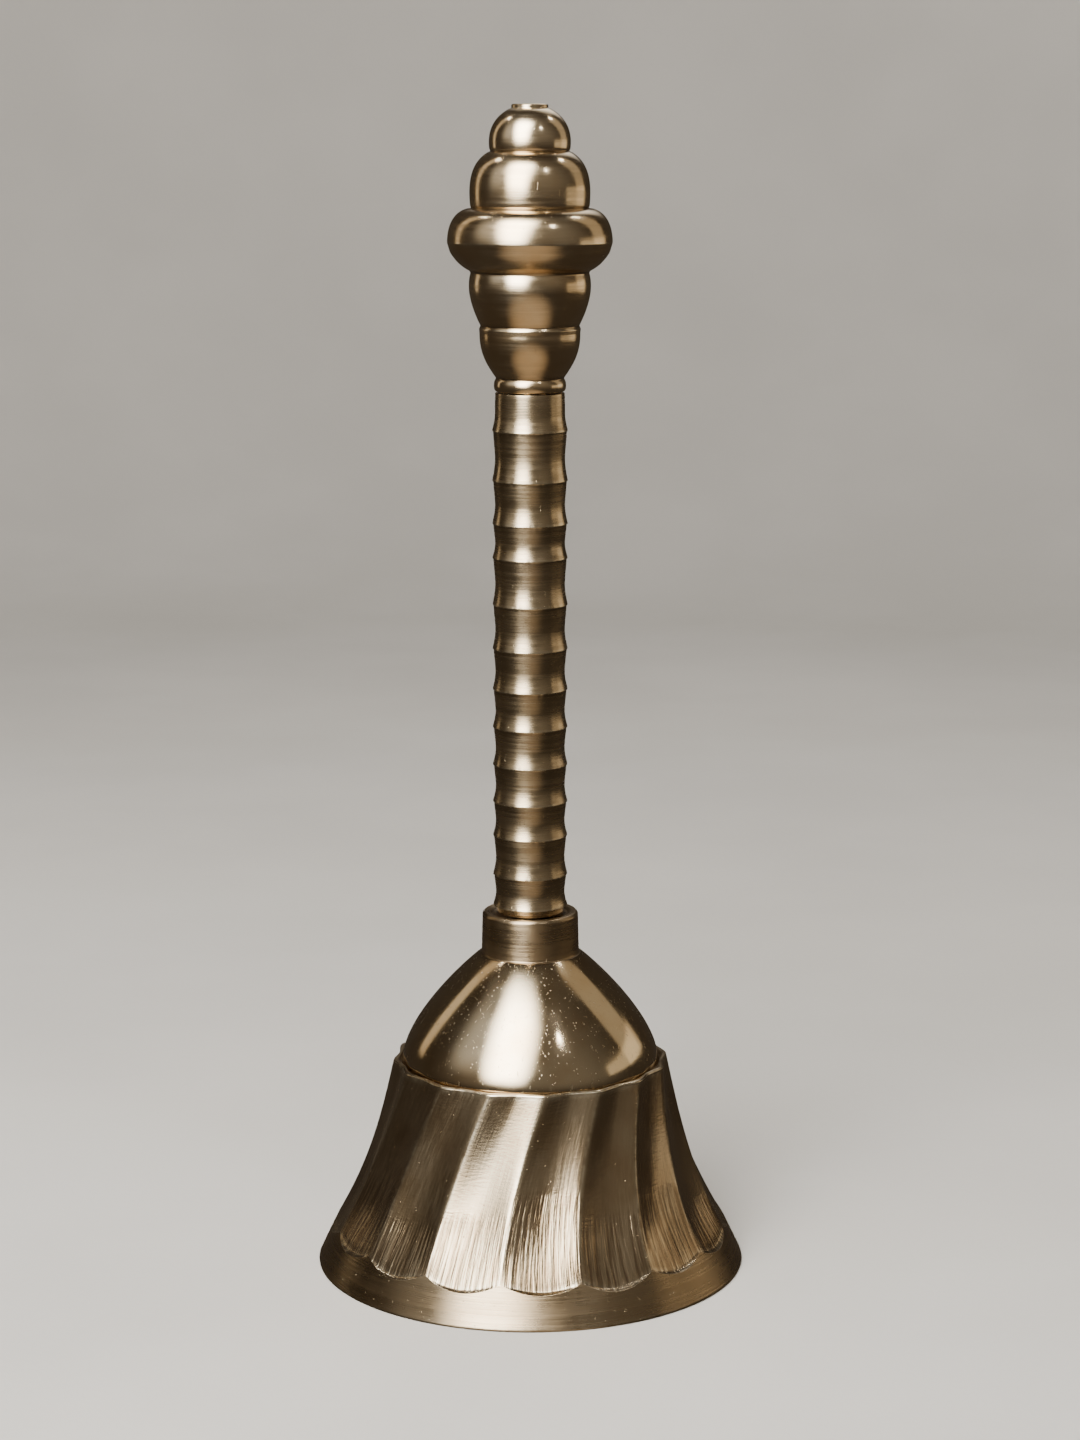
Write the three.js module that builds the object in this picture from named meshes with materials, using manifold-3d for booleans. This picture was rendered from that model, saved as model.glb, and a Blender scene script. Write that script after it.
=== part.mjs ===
// Tibetan hand bell in turned brass: a fluted bell cup on a long ringed handle with a
// stacked finial, and a clapper that hangs inside on a wire link.
// Millimetres, +Z up. The origin is the centre of the mouth, on the surface the bell stands on.
import * as THREE from 'three';
import { mergeVertices } from 'three/addons/utils/BufferGeometryUtils.js';
import Module from 'manifold-3d';

const wasm = await Module();
wasm.setup();

// ---------- Driving dimensions ----------
const height = 140;
const seamGap = 0.2;
const aroundCup = 80;
const aroundHandle = 32;
const aroundSmall = 20;
const wireSides = 8;

// Bell cup, from the mouth up.
const mouthRadius = 26.1;
const mouthInnerRadius = 24.5;
const lipTop = 4.9;
const lipTopRadius = 23.9;
const ledgeHeight = 25.4;
const ledgeRadius = 16.75;
const domeFootRadius = 15.6;
const collarBottom = 38.75;
const collarRadius = 5.9;
const collarTop = 43.9;
const collarDish = 0.3;
const crownUnderside = 35.4;
const crownInnerRadius = 6.4;
const studBoreRadius = 2.3;

// Flutes: concave cuts with sharp ridges between them, twisted towards the ledge. They start
// shallow at the lip and reach their full depth a quarter of the way up.
const fluteCount = 16;
const firstRidge = THREE.MathUtils.degToRad(-8.6);
const fluteTwist = THREE.MathUtils.degToRad(14.4);
const fluteDepth = 0.9;
const fluteDepthAtLedge = 0.6;
const fluteRunOut = 0.05;
const shallowAtLip = 0.45;
const fluteRise = 0.25;
const scallopDrop = 1.2;
const scallopReach = 0.35;
const rimTop = ledgeHeight + 0.2;

// Handle: a rod of flared rings, each turned by eye to its own height, from the top one down.
const handleTop = 106.6;
const ringHeights = [4.5, 5.9, 5.1, 4.1, 5.6, 5.3, 4.9, 4.6, 4.6, 4.5, 4.2, 4.8, 3.8];
const ringFlare = 4.5;
const ringShoulder = 4.38;
const ringWaist = 4.14;
const waistShare = 0.45;
const spigotRadius = 4.0;
const socketRadius = 2.3;
const socketDepth = 9;
const drillTip = 1.2;

// Finial, the stacked knob on top.
const finialBottom = handleTop + seamGap;

// Hanger and clapper, all on the axis of the bell.
const studRadius = 2.0;
const studTop = 53;
const holeClearance = 0.2;
const washerRadius = 4.6;
const washerThickness = 0.7;
const nutAcrossFlats = 7;
const nutHeight = 2.0;
const restGap = 0.3;
const eyeRadius = 2.0;
const eyeWire = 0.8;
const eyeCentre = 29.6;
const linkBend = 1.6;
const linkStraight = 2.0;
const linkWire = 0.6;
const clapperRodRadius = 0.9;
const ballRadius = 5.5;
const ballCentre = 7.5;
const ballBoreRadius = 1.15;

// The link turns on the bottom bar of the eye, and the clapper on the bottom bend of the link.
const linkPivot = eyeCentre - eyeRadius;
const clapperPivot = linkPivot - linkStraight - linkBend;

// ---------- Materials ----------
function brass(name, color, roughness) {
  return new THREE.MeshStandardMaterial({ name, color, roughness, metalness: 1 });
}
const polishedBrass = () => brass('polished_brass', 0xcdb98a, 0.25);
const satinBrass = () => brass('satin_brass', 0xc0a97c, 0.4);
const darkBrass = () => brass('dark_brass', 0x9a7f4e, 0.5);
const steelWire = () => new THREE.MeshStandardMaterial({
  name: 'steel_wire', color: 0x8d8a84, roughness: 0.45, metalness: 1,
});

// ---------- Shape helpers ----------
// Turns a profile of (radius, height) points about the Z axis. The profile runs up the outside.
function turned(points, around) {
  const geometry = new THREE.LatheGeometry(points, around);
  geometry.rotateX(Math.PI / 2);
  return welded(geometry);
}

function welded(geometry) {
  geometry.deleteAttribute('normal');
  geometry.deleteAttribute('uv');
  const tolerance = 1e-4;
  const joined = mergeVertices(geometry, tolerance);
  joined.setIndex(withoutSlivers(joined.index));
  joined.computeVertexNormals();
  return joined;
}

// Triangles that weld to a line, as on the axis of a turned shape, are dropped.
function withoutSlivers(index) {
  const kept = [];
  for (let i = 0; i < index.count; i += 3) {
    const [a, b, c] = [index.getX(i), index.getX(i + 1), index.getX(i + 2)];
    if (a !== b && b !== c && c !== a) kept.push(a, b, c);
  }
  return kept;
}

function solidOf(geometry) {
  const mesh = new wasm.Mesh({
    numProp: 3,
    vertProperties: new Float32Array(geometry.attributes.position.array),
    triVerts: new Uint32Array(geometry.index.array),
  });
  return new wasm.Manifold(mesh);
}

function joinedGeometry(first, second) {
  const mesh = solidOf(first).add(solidOf(second)).getMesh();
  const geometry = new THREE.BufferGeometry();
  geometry.setAttribute('position', new THREE.BufferAttribute(mesh.vertProperties, 3));
  geometry.setIndex(new THREE.BufferAttribute(mesh.triVerts, 1));
  geometry.computeVertexNormals();
  return geometry;
}

function part(name, geometry, material) {
  const mesh = new THREE.Mesh(geometry, material);
  mesh.name = name;
  return mesh;
}

// An eye of round wire in the XZ plane.
function wireEye(bend, wire, centreHeight) {
  const geometry = new THREE.TorusGeometry(bend, wire, wireSides, aroundSmall);
  geometry.rotateX(Math.PI / 2);
  geometry.translate(0, 0, centreHeight);
  return welded(geometry);
}

// ---------- Bell cup ----------
// How far a point of the skirt is up the flutes: 0 at the lip, 1 at the ledge.
function fluteFraction(z) {
  return THREE.MathUtils.clamp((z - lipTop) / (ledgeHeight - lipTop), 0, 1);
}

// The skirt's outside before fluting: nearly straight at the lip and steeper at the ledge.
function skirtRadius(z) {
  const flareShare = 0.44;
  const fall = 1 - (z - lipTop) / (ledgeHeight - lipTop);
  const straight = (1 - flareShare) * fall;
  const flare = flareShare * fall ** 2.4;
  return ledgeRadius + (lipTopRadius - ledgeRadius) * (straight + flare);
}

function cupProfile() {
  const outline = new THREE.Path();
  // Lip, skirt and ledge.
  outline.moveTo(mouthInnerRadius, 0);
  outline.lineTo(mouthRadius - 0.2, 0);
  outline.lineTo(mouthRadius, 0.25);
  outline.lineTo(lipTopRadius, lipTop);
  for (const fraction of [0.04, 0.1, 0.25, 0.45, 0.65, 0.85, 1]) {
    const z = lipTop + fraction * (ledgeHeight - lipTop);
    outline.lineTo(skirtRadius(z), z);
  }
  outline.lineTo(ledgeRadius - 0.3, rimTop);
  // Dome and collar.
  outline.lineTo(domeFootRadius, ledgeHeight - 0.1);
  outline.bezierCurveTo(domeFootRadius - 0.2, 29.8, 9.1, 36.4, collarRadius + 0.25, collarBottom);
  outline.lineTo(collarRadius, collarBottom + 0.3);
  outline.lineTo(collarRadius - 0.1, collarTop - 0.3);
  outline.lineTo(collarRadius - 0.4, collarTop);
  outline.lineTo(spigotRadius + 0.9, collarTop);
  outline.lineTo(spigotRadius + 0.5, collarTop - collarDish);
  outline.lineTo(studBoreRadius, collarTop - collarDish);
  // Bore for the stud, then the inside wall down to the mouth.
  outline.lineTo(studBoreRadius, crownUnderside);
  outline.lineTo(crownInnerRadius, crownUnderside);
  outline.bezierCurveTo(10.2, 34.0, 13.4, 28.4, 14.1, 23.5);
  outline.quadraticCurveTo(16.0, 15.0, 21.9, 4.5);
  outline.lineTo(mouthInnerRadius, 0);
  return outline.getPoints(5);
}

// Twists each row of the turned cup and presses the flutes into the outside of the skirt.
function cutFlutes(geometry) {
  const position = geometry.attributes.position;
  const pitch = (2 * Math.PI) / fluteCount;
  const hair = 0.01;
  for (let i = 0; i < position.count; i += 1) {
    const x = position.getX(i);
    const y = position.getY(i);
    let z = position.getZ(i);
    let radius = Math.hypot(x, y);
    const angle = Math.atan2(y, x);
    const turn = firstRidge - Math.PI / 2 + fluteTwist * fluteFraction(z) ** 2;
    const across = (((angle / pitch) % 1) + 1) % 1;
    const hollow = 1 - (2 * across - 1) ** 2;
    const fraction = fluteFraction(z);
    const isBelowRim = z < rimTop + hair;
    const isSkirt = radius > skirtRadius(z) - hair && z > lipTop - hair;
    const isRim = z > ledgeHeight - hair && radius > domeFootRadius + hair;
    if (isBelowRim && (isSkirt || isRim)) {
      z -= scallopDrop * hollow * Math.max(0, 1 - fraction / scallopReach);
      const runOut = Math.sqrt(Math.min(1, fraction / fluteRunOut));
      const rise = THREE.MathUtils.smoothstep(fraction, 0, fluteRise);
      const share = THREE.MathUtils.lerp(shallowAtLip, 1, rise) * runOut;
      const depth = THREE.MathUtils.lerp(fluteDepth, fluteDepthAtLedge, fraction);
      radius = (isRim ? radius : skirtRadius(z)) - depth * hollow * share;
    }
    position.setXYZ(i, radius * Math.cos(angle + turn), radius * Math.sin(angle + turn), z);
  }
  geometry.computeVertexNormals();
  return geometry;
}

function bellCup() {
  return part('bell_cup', cutFlutes(turned(cupProfile(), aroundCup)), polishedBrass());
}

// ---------- Handle ----------
// Lower edge of each ring, from the top one down. Each ring narrows to a waist and flares
// to a sharp lower edge.
function ringEdges() {
  const edges = [];
  let z = handleTop;
  for (const ringHeight of ringHeights) {
    z -= ringHeight;
    edges.push(z);
  }
  return edges;
}

function handleGrip() {
  const edges = ringEdges();
  const lowest = edges.length - 1;
  const flareHollow = 0.04;
  const points = [
    [0, collarTop + socketDepth + drillTip],
    [socketRadius, collarTop + socketDepth],
    [socketRadius, collarTop],
    [spigotRadius, collarTop],
    [spigotRadius, edges[lowest]],
  ];
  for (let i = lowest; i >= 0; i -= 1) {
    const top = i === 0 ? handleTop : edges[i - 1];
    const tall = top - edges[i];
    points.push([ringFlare, edges[i]]);
    points.push([(ringFlare + ringWaist) / 2 - flareHollow, edges[i] + 0.17 * tall]);
    points.push([ringWaist, edges[i] + waistShare * tall]);
    points.push([i === 0 ? ringWaist : ringShoulder, top]);
  }
  points.push([socketRadius, handleTop]);
  points.push([socketRadius, handleTop - socketDepth]);
  points.push([0, handleTop - socketDepth - drillTip]);
  const profile = points.map(([r, z]) => new THREE.Vector2(r, z));
  return part('handle_grip', turned(profile, aroundHandle), satinBrass());
}

// ---------- Finial ----------
function finialKnob() {
  const outline = new THREE.Path();
  const spigotBottom = handleTop - socketDepth + 1;
  outline.moveTo(0, spigotBottom);
  outline.lineTo(studRadius - 0.3, spigotBottom);
  outline.lineTo(studRadius, spigotBottom + 0.3);
  outline.lineTo(studRadius, finialBottom);
  // Neck bead.
  outline.lineTo(4.1, finialBottom);
  outline.quadraticCurveTo(4.3, 107.5, 4.08, 108.3);
  // Cup that swells upwards in two steps to the groove under the disc.
  outline.quadraticCurveTo(5.8, 110.4, 6.0, 114.2);
  outline.lineTo(5.85, 114.6);
  outline.quadraticCurveTo(7.6, 117.8, 7.1, 120.9);
  // Wide disc: a chamfer under its rim and a full shoulder above.
  outline.quadraticCurveTo(8.6, 121.6, 9.35, 123.0);
  outline.lineTo(9.7, 124.2);
  outline.quadraticCurveTo(9.7, 127.3, 7.4, 128.0);
  outline.lineTo(6.9, 128.1);
  // Two stacked domes.
  outline.quadraticCurveTo(7.7, 133.2, 4.9, 134.5);
  outline.lineTo(4.5, 134.7);
  outline.quadraticCurveTo(5.3, 138.3, 2.3, 139.45);
  outline.lineTo(2.1, height);
  outline.lineTo(0, height);
  return part('finial_knob', turned(outline.getPoints(5), aroundHandle), satinBrass());
}

// ---------- Hanger ----------
// A stud that clamps the cup to the handle, with an eye at its lower end.
function eyeBolt() {
  const stemBottom = eyeCentre + eyeRadius - 0.5 * eyeWire;
  const chamfer = 0.4;
  const profile = [
    [0, stemBottom],
    [studRadius - chamfer, stemBottom],
    [studRadius, stemBottom + chamfer],
    [studRadius, studTop - chamfer],
    [studRadius - chamfer, studTop],
    [0, studTop],
  ].map(([r, z]) => new THREE.Vector2(r, z));
  const stem = turned(profile, aroundSmall);
  const eye = wireEye(eyeRadius, eyeWire, eyeCentre);
  return part('eye_bolt', joinedGeometry(stem, eye), darkBrass());
}

function crownWasher() {
  const top = crownUnderside - restGap;
  const bottom = top - washerThickness;
  const inner = studRadius + holeClearance;
  const chamfer = 0.1;
  const profile = [
    [inner, bottom],
    [washerRadius - chamfer, bottom],
    [washerRadius, bottom + chamfer],
    [washerRadius, top - chamfer],
    [washerRadius - chamfer, top],
    [inner, top],
    [inner, bottom],
  ].map(([r, z]) => new THREE.Vector2(r, z));
  return part('crown_washer', turned(profile, aroundHandle), darkBrass());
}

function crownNut() {
  const top = crownUnderside - 2 * restGap - washerThickness;
  const corner = nutAcrossFlats / Math.sqrt(3);
  const outline = new THREE.Shape();
  for (let i = 0; i < 6; i += 1) {
    const angle = (i * Math.PI) / 3;
    const point = [corner * Math.cos(angle), corner * Math.sin(angle)];
    if (i === 0) outline.moveTo(...point);
    else outline.lineTo(...point);
  }
  outline.closePath();
  const hole = new THREE.Path();
  hole.absarc(0, 0, studRadius + holeClearance, 0, 2 * Math.PI, true);
  outline.holes.push(hole);
  const geometry = new THREE.ExtrudeGeometry(outline, {
    depth: nutHeight, bevelEnabled: false, curveSegments: aroundSmall,
  });
  geometry.translate(0, 0, top - nutHeight);
  return part('crown_nut', welded(geometry), darkBrass());
}

// ---------- Clapper ----------
// A long loop of wire in the YZ plane, with the butt joint of the wire on one straight side.
function clapperLink() {
  const upper = linkPivot;
  const lower = linkPivot - linkStraight;
  const path = new THREE.CurvePath();
  const at = (y, z) => new THREE.Vector3(0, y, z);
  const buttGap = 0.3;
  const middle = (upper + lower) / 2;
  path.add(new THREE.LineCurve3(at(linkBend, middle + buttGap / 2), at(linkBend, upper)));
  path.add(new HalfTurn(upper, 0));
  path.add(new THREE.LineCurve3(at(-linkBend, upper), at(-linkBend, lower)));
  path.add(new HalfTurn(lower, Math.PI));
  path.add(new THREE.LineCurve3(at(linkBend, lower), at(linkBend, middle - buttGap / 2)));
  const section = new THREE.Shape();
  section.absarc(0, 0, linkWire, 0, 2 * Math.PI, false);
  const geometry = new THREE.ExtrudeGeometry(section, {
    steps: 28, curveSegments: wireSides / 2, extrudePath: path, bevelEnabled: false,
  });
  return part('clapper_link', welded(geometry), steelWire());
}

// Half a circle of wire in the YZ plane, counter-clockwise from the given angle.
class HalfTurn extends THREE.Curve {
  constructor(centre, start) {
    super();
    this.centre = centre;
    this.start = start;
  }

  getPoint(t, target = new THREE.Vector3()) {
    const angle = this.start + Math.PI * t;
    return target.set(0, linkBend * Math.cos(angle), this.centre + linkBend * Math.sin(angle));
  }
}

// The rod's riveted head carries the ball from below, and a small shoulder keeps it down.
function clapperRod() {
  const seatGap = 0.15;
  const headRadius = 1.8;
  const shoulderRadius = 1.5;
  const headTop = ballCentre - ballRadius - seatGap;
  const headBottom = headTop - 0.65;
  const shoulder = ballCentre + ballRadius + seatGap;
  const rodTop = clapperPivot - linkBend;
  const profile = [
    [0, headBottom],
    [headRadius - 0.7, headBottom],
    [headRadius, headTop - 0.1],
    [headRadius, headTop],
    [clapperRodRadius, headTop],
    [clapperRodRadius, shoulder],
    [shoulderRadius, shoulder],
    [shoulderRadius, shoulder + 0.6],
    [clapperRodRadius, shoulder + 0.9],
    [clapperRodRadius, rodTop],
    [0, rodTop],
  ].map(([r, z]) => new THREE.Vector2(r, z));
  const rod = turned(profile, aroundSmall);
  const eye = wireEye(linkBend, linkWire, clapperPivot);
  return part('clapper_rod', joinedGeometry(rod, eye), steelWire());
}

function clapperBall() {
  const poleAngle = Math.asin(ballBoreRadius / ballRadius);
  const outline = new THREE.Path();
  const bottom = -Math.PI / 2 + poleAngle;
  outline.absarc(0, ballCentre, ballRadius, bottom, -bottom, false);
  outline.closePath();
  return part('clapper_ball', turned(outline.getPoints(6), aroundSmall), darkBrass());
}

// ---------- Assembly ----------
const bell = new THREE.Group();
bell.add(bellCup(), handleGrip(), finialKnob());
bell.add(eyeBolt(), crownWasher(), crownNut());
bell.add(clapperLink(), clapperRod(), clapperBall());
export default bell;
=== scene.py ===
"""Looks for the tibetan hand bell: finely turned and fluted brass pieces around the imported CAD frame."""

import math

import bmesh
import bpy
import numpy as np
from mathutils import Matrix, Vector


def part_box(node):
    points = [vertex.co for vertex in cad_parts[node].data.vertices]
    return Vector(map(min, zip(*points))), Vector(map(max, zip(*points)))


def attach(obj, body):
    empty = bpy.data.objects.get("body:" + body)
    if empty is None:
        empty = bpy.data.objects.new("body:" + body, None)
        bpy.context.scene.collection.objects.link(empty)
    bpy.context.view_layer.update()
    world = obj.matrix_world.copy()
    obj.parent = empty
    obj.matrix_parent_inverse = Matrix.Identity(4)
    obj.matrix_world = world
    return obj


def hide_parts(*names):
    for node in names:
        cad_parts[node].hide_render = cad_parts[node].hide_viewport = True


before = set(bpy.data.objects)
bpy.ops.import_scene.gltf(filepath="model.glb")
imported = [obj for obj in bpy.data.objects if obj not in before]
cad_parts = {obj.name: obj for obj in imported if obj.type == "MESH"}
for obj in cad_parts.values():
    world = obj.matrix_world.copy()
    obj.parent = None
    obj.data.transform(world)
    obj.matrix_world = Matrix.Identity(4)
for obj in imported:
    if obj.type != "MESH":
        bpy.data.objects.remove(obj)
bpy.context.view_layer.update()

MM = 0.001
MICRON = 1e-6


def box_in_mm(node):
    """The lowest and highest corners of a CAD node, in millimetres."""
    low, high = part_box(node)
    return low / MM, high / MM


cup_high = box_in_mm("bell_cup")[1]
handle_low, handle_high = box_in_mm("handle_grip")
finial_low, finial_high = box_in_mm("finial_knob")
bolt_low, bolt_high = box_in_mm("eye_bolt")
washer_low, washer_high = box_in_mm("crown_washer")
nut_low, nut_high = box_in_mm("crown_nut")
link_low, link_high = box_in_mm("clapper_link")
rod_low, rod_high = box_in_mm("clapper_rod")
ball_low, ball_high = box_in_mm("clapper_ball")
random = np.random.default_rng(7)

# ---------- Sizes, in millimetres above the mouth or out from the axis, as the CAD part has them ----------
MOUTH_RADIUS = cup_high.x
MOUTH_INNER_RADIUS = 24.5
LIP_FOOT = 0.28
LIP_TOP = 4.9
LIP_TOP_RADIUS = 23.9
LEDGE_HEIGHT = 25.4
LEDGE_RADIUS = 16.75
LEDGE_CREST = LEDGE_HEIGHT + 0.25
DOME_FOOT_RADIUS = 15.6
COLLAR_TOP = cup_high.z
COLLAR_BOTTOM = COLLAR_TOP - 5.15
COLLAR_RADIUS = 5.9
COLLAR_DISH = 0.3
CROWN_UNDERSIDE = 35.4
CROWN_INNER_RADIUS = 6.4
STUD_BORE = 2.3

FLUTES = 16
COLUMNS_PER_FLUTE = 20
FIRST_RIDGE = math.radians(-90 - 8.6)
FLUTE_TWIST = math.radians(14.4)
FLUTE_DEPTH = 0.9
FLUTE_DEPTH_AT_LEDGE = 0.6
SCALLOP_DROP = 1.2
SCALLOP_FOOT = 0.6
# Shares of the way up the skirt, from 0 at the lip to 1 at the ledge.
FLUTE_RUN_OUT = 0.016
FLUTE_RISE = 0.25
SCALLOP_REACH = 0.35
# The share of their depth that the flutes have by the lip, and how worn their ridges are.
SHALLOW_AT_LIP = 0.45
WORN_RIDGE = 0.03
WORN_RIDGE_AT_LEDGE = 0.22
# How suddenly the cutter's coarse marks begin below the place where it plunged in.
PLUNGE_SHARPNESS = 24

# Heights of the handle's rings from the top one down, as uneven as they were turned.
RING_HEIGHTS = (4.5, 5.9, 5.1, 4.1, 5.6, 5.3, 4.9, 4.6, 4.6, 4.5, 4.2, 4.8, 3.8)
RING_FLARE = handle_high.x
RING_SHOULDER = 4.38
RING_WAIST = 4.14
FLARE_SHARE = 0.32
WAIST_SHARE = 0.46
SPIGOT_RADIUS = 4.0
SOCKET_RADIUS = 2.3
SOCKET_DEPTH = 9.0
DRILL_TIP = 1.2

# The finial's grooves and sharp edges.
NECK_TOP = 108.35
CUP_EDGE = 114.15
CUP_GROOVE = 114.45
DISC_FOOT = 120.75
DISC_EDGE = 124.15
DISC_TOP = 128.05
LOWER_DOME_TOP = 134.6
BUTTON_FOOT = 139.5


# ---------- Profiles ----------
SAMPLE_STEP = 0.05
ON_AXIS = 1e-6
SHARP_EDGE = math.radians(32)


class Profile:
    """A line of (radius, height) points, run up the outside, sampled finely with softened corners."""

    def __init__(self, radius, height):
        self.points = [np.array([radius, height], float)]

    def line(self, radius, height):
        start = self.points[-1]
        end = np.array([radius, height], float)
        steps = max(2, int(np.linalg.norm(end - start) / SAMPLE_STEP))
        self.points += [start + (end - start) * i / steps for i in range(1, steps + 1)]
        return self

    def curve(self, *controls):
        """A Bezier curve of any degree from the last point through the control points to the last one."""
        knots = np.array([self.points[-1], *[np.array(c, float) for c in controls]])
        length = np.linalg.norm(np.diff(knots, axis=0), axis=1).sum()
        steps = max(4, int(length / SAMPLE_STEP))
        degree = len(knots) - 1
        for i in range(1, steps + 1):
            t = i / steps
            weights = [math.comb(degree, k) * t**k * (1 - t) ** (degree - k) for k in range(degree + 1)]
            self.points.append(np.array(weights) @ knots)
        return self

    def done(self, softness=3, tolerance=0.0015, spacing=0.45):
        """The points, with corners softened as many times as asked and needless points left out."""
        points = np.array(self.points)
        for _ in range(softness):
            points[1:-1] = (points[:-2] + 2 * points[1:-1] + points[2:]) / 4
        return simplified(points, tolerance, spacing)


def simplified(points, tolerance, spacing):
    """Drops points that a straight stretch doesn't need, keeping one at least every spacing."""
    kept = [points[0]]
    start = 0
    for end in range(2, len(points)):
        chord = points[end] - points[start]
        length = np.linalg.norm(chord)
        between = points[start + 1 : end] - points[start]
        off = np.abs(between[:, 0] * chord[1] - between[:, 1] * chord[0]) / max(length, 1e-9)
        if off.max() > tolerance or length > spacing:
            start = end - 1
            kept.append(points[start])
    kept.append(points[-1])
    return np.array(kept)


def skirt_radius(z):
    """The skirt's outside before it's fluted, which widens faster towards the lip."""
    fall = 1 - (z - LIP_TOP) / (LEDGE_HEIGHT - LIP_TOP)
    widening = 0.56 * fall + 0.44 * np.maximum(fall, 0) ** 2.4
    return LEDGE_RADIUS + (LIP_TOP_RADIUS - LEDGE_RADIUS) * widening


def arc_lengths(points):
    steps = np.linalg.norm(np.diff(points, axis=0), axis=1)
    return np.concatenate([[0.0], np.cumsum(steps)])


# ---------- Meshes ----------
def mesh_piece(node, vertices, faces, body, materials, face_materials=None):
    """A smooth mesh object in metres that stands for a CAD node and moves with its body."""
    name = node + "_look"
    mesh = bpy.data.meshes.new(name)
    mesh.from_pydata([tuple(v) for v in np.asarray(vertices) * MM], [], faces)
    for material in materials:
        mesh.materials.append(material)
    if face_materials is not None:
        mesh.polygons.foreach_set("material_index", face_materials)
    mesh.shade_smooth()
    mesh.set_sharp_from_angle(angle=SHARP_EDGE)
    mesh.validate()
    piece = bpy.data.objects.new(name, mesh)
    bpy.context.scene.collection.objects.link(piece)
    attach(piece, body)
    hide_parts(node)
    return piece


def add_map(piece, values):
    """Keeps each point's place round and along its surface, which the materials draw their marks by."""
    attribute = piece.data.attributes.new("turned_map", "FLOAT_VECTOR", "POINT")
    attribute.data.foreach_set("vector", np.asarray(values, np.float32).ravel())


def add_share(piece, name, values):
    """Keeps a share from 0 to 1 at each point, which the materials read by its name."""
    attribute = piece.data.attributes.new(name, "FLOAT", "POINT")
    attribute.data.foreach_set("value", np.ascontiguousarray(values, np.float32).ravel())


def grid_faces(rows, columns, closed):
    """Quads between neighbouring rows of a grid that wraps round, the profile running up the outside."""
    faces = []
    last = rows if closed else rows - 1
    for j in range(last):
        upper = (j + 1) % rows
        for i in range(columns):
            after = (i + 1) % columns
            low, high = j * columns, upper * columns
            faces.append((low + i, low + after, high + after, high + i))
    return faces


def fan_faces(pole, ring_start, around, upward):
    """Triangles from a ring of points to a pole on the axis above it, or below it."""
    faces = []
    for i in range(around):
        here, after = ring_start + i, ring_start + (i + 1) % around
        faces.append((pole, here, after) if upward else (pole, after, here))
    return faces


def lathe(node, profile, around, body, material, wobble=None):
    """Turns a profile about Z. A profile that starts or ends on the axis gets a single point there."""
    closed = np.allclose(profile[0], profile[-1])
    along = arc_lengths(profile)
    if closed:
        profile, along = profile[:-1], along[:-1]
    pole_below = not closed and profile[0][0] < ON_AXIS
    pole_above = not closed and profile[-1][0] < ON_AXIS
    rings = slice(int(pole_below), len(profile) - int(pole_above))
    rows, lengths = profile[rings], along[rings]
    angles = np.arange(around) * 2 * math.pi / around
    radius = np.repeat(rows[:, :1], around, axis=1)
    height = np.repeat(rows[:, 1:], around, axis=1)
    if wobble is not None:
        radius, height = wobble(radius, height, angles)
    vertices = np.stack([radius * np.cos(angles), radius * np.sin(angles), height], axis=-1)
    vertices = vertices.reshape(-1, 3)
    turned = np.stack([
        np.broadcast_to(np.cos(angles), radius.shape),
        np.broadcast_to(np.sin(angles), radius.shape),
        np.repeat(lengths[:, None], around, axis=1),
    ], axis=-1).reshape(-1, 3)
    faces = grid_faces(len(rows), around, closed)
    if pole_below:
        faces += fan_faces(len(vertices), 0, around, upward=False)
        vertices = np.vstack([vertices, [0, 0, profile[0][1]]])
        turned = np.vstack([turned, [0, 0, along[0]]])
    if pole_above:
        faces += fan_faces(len(vertices), (len(rows) - 1) * around, around, upward=True)
        vertices = np.vstack([vertices, [0, 0, profile[-1][1]]])
        turned = np.vstack([turned, [0, 0, along[-1]]])
    piece = mesh_piece(node, vertices, faces, body, [material])
    add_map(piece, turned)
    return piece


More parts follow.
